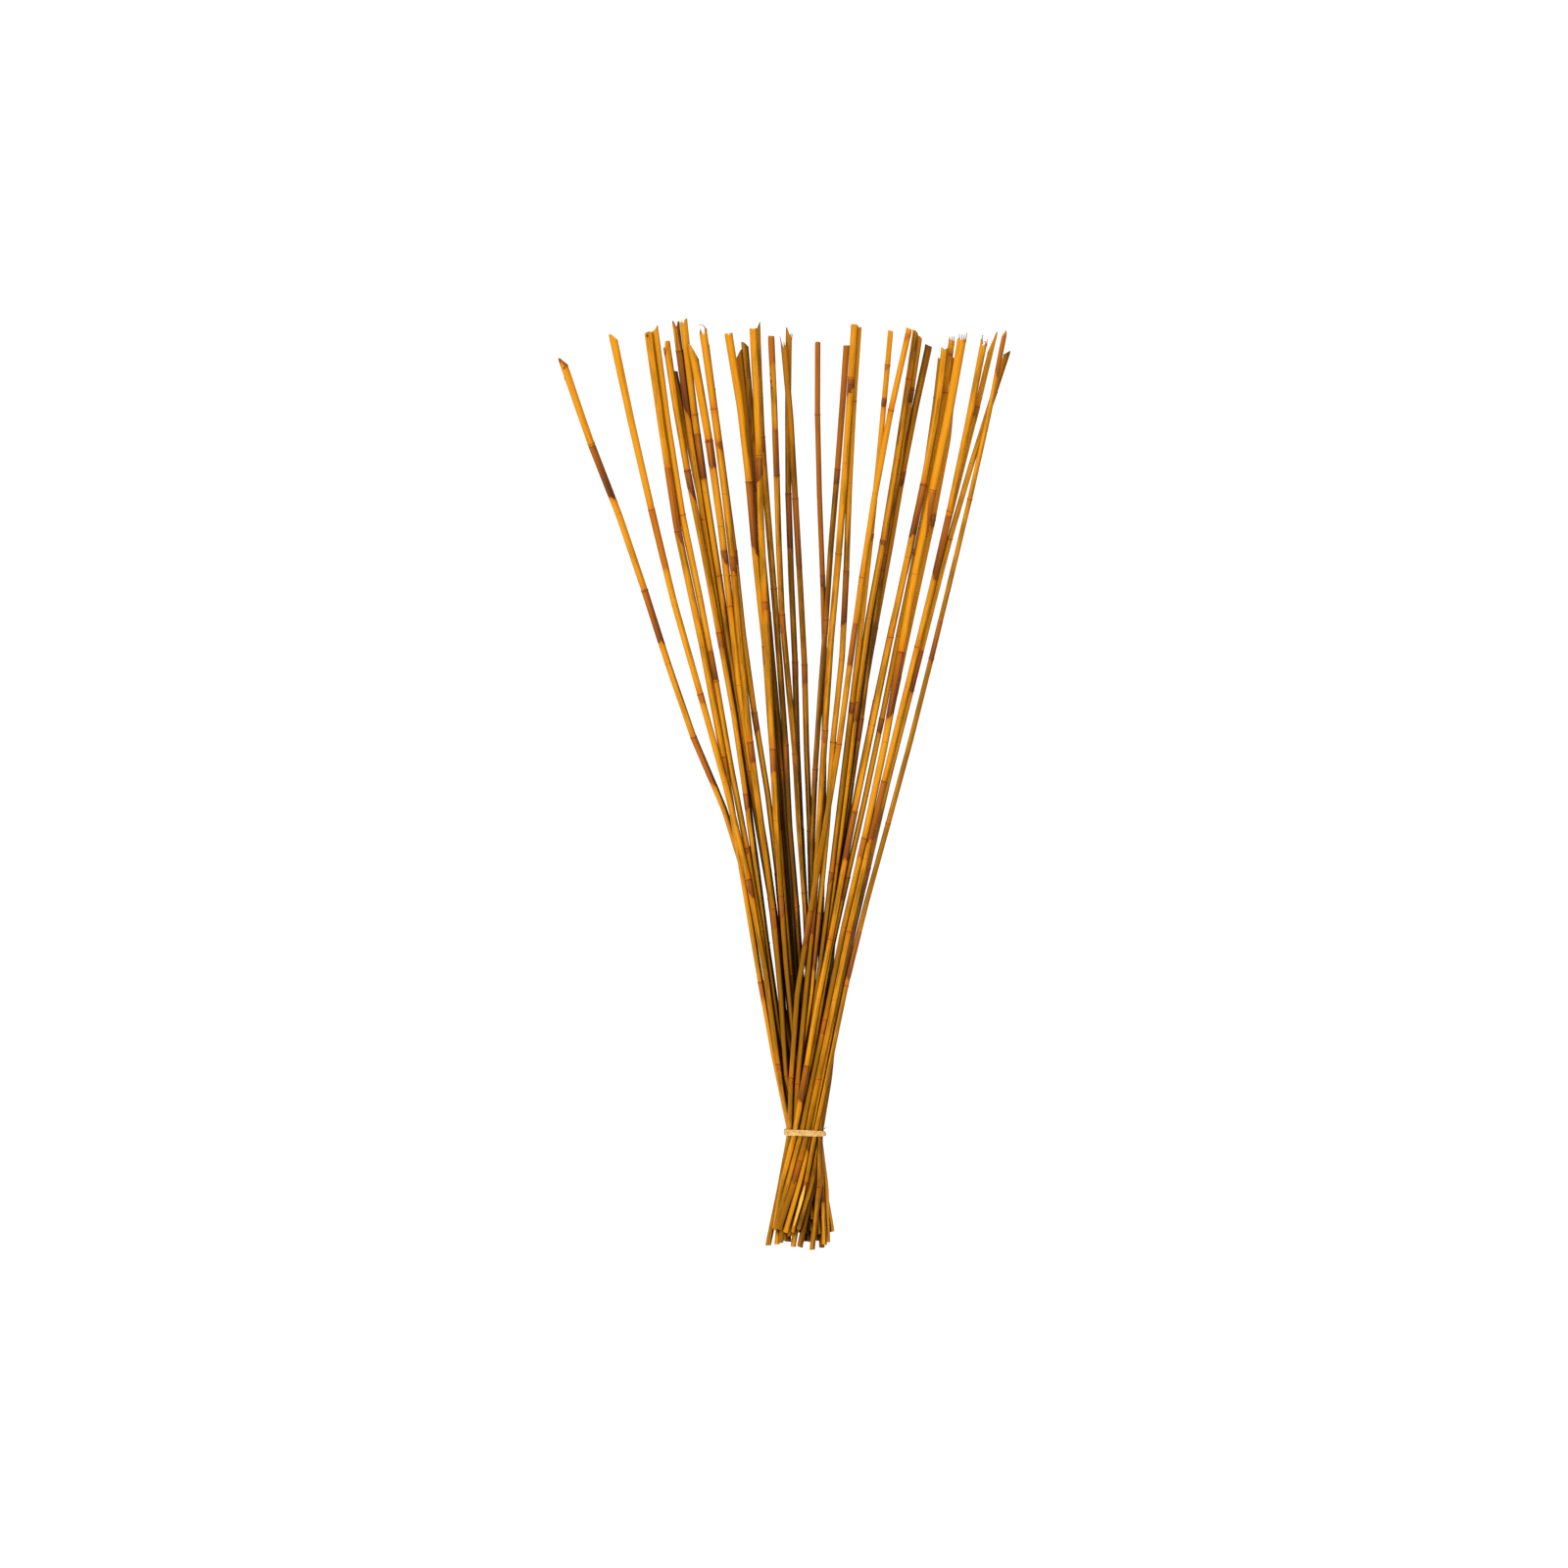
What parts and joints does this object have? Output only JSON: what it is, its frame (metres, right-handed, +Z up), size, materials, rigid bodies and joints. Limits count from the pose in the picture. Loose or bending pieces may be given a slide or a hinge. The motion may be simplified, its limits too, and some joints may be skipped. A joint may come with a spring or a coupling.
{
  "type": "bunch of reeds",
  "caption": "Bunch of dried, gold-dyed reed stems with growth rings and rough cut ends, fanned out from a raffia tie near their thin ends, lying on a surface.",
  "frame": {"origin": "middle of the bunch's footprint, on the surface it lies on", "axes": "+Y along the bunch towards the fan of thick root ends, +X across the fan to the right seen from above, +Z up"},
  "size_m": [0.4628, 0.952, 0.0624],
  "materials": {
    "gold_reed": "satin dyed reed, bright golden orange with brown sheath traces",
    "olive_reed": "satin dyed reed, olive gold with brown sheath traces",
    "brown_reed": "satin dyed reed, dull brown gold with darker streaks",
    "raffia": "matte, light tan twisted raffia fibre"
  },
  "bodies": {
    "root": {"reed_01": "gold_reed", "reed_02": "gold_reed", "reed_03": "gold_reed", "reed_04": "gold_reed", "reed_05": "gold_reed", "reed_06": "brown_reed", "reed_07": "olive_reed", "reed_08": "olive_reed", "reed_09": "gold_reed", "reed_10": "gold_reed", "reed_11": "olive_reed", "reed_12": "gold_reed", "reed_13": "brown_reed", "reed_14": "olive_reed", "reed_15": "gold_reed", "reed_16": "olive_reed", "reed_17": "olive_reed", "reed_18": "brown_reed", "reed_19": "brown_reed", "reed_20": "olive_reed", "reed_21": "olive_reed", "reed_22": "gold_reed", "reed_23": "olive_reed", "reed_24": "gold_reed", "reed_25": "gold_reed", "reed_26": "olive_reed", "reed_27": "olive_reed", "reed_28": "brown_reed", "reed_29": "brown_reed", "reed_30": "gold_reed", "reed_31": "olive_reed", "reed_32": "gold_reed", "reed_33": "olive_reed", "reed_34": "gold_reed", "reed_35": "olive_reed", "reed_36": "gold_reed", "reed_37": "olive_reed", "raffia_tie": "raffia"}
  },
  "joints": []
}
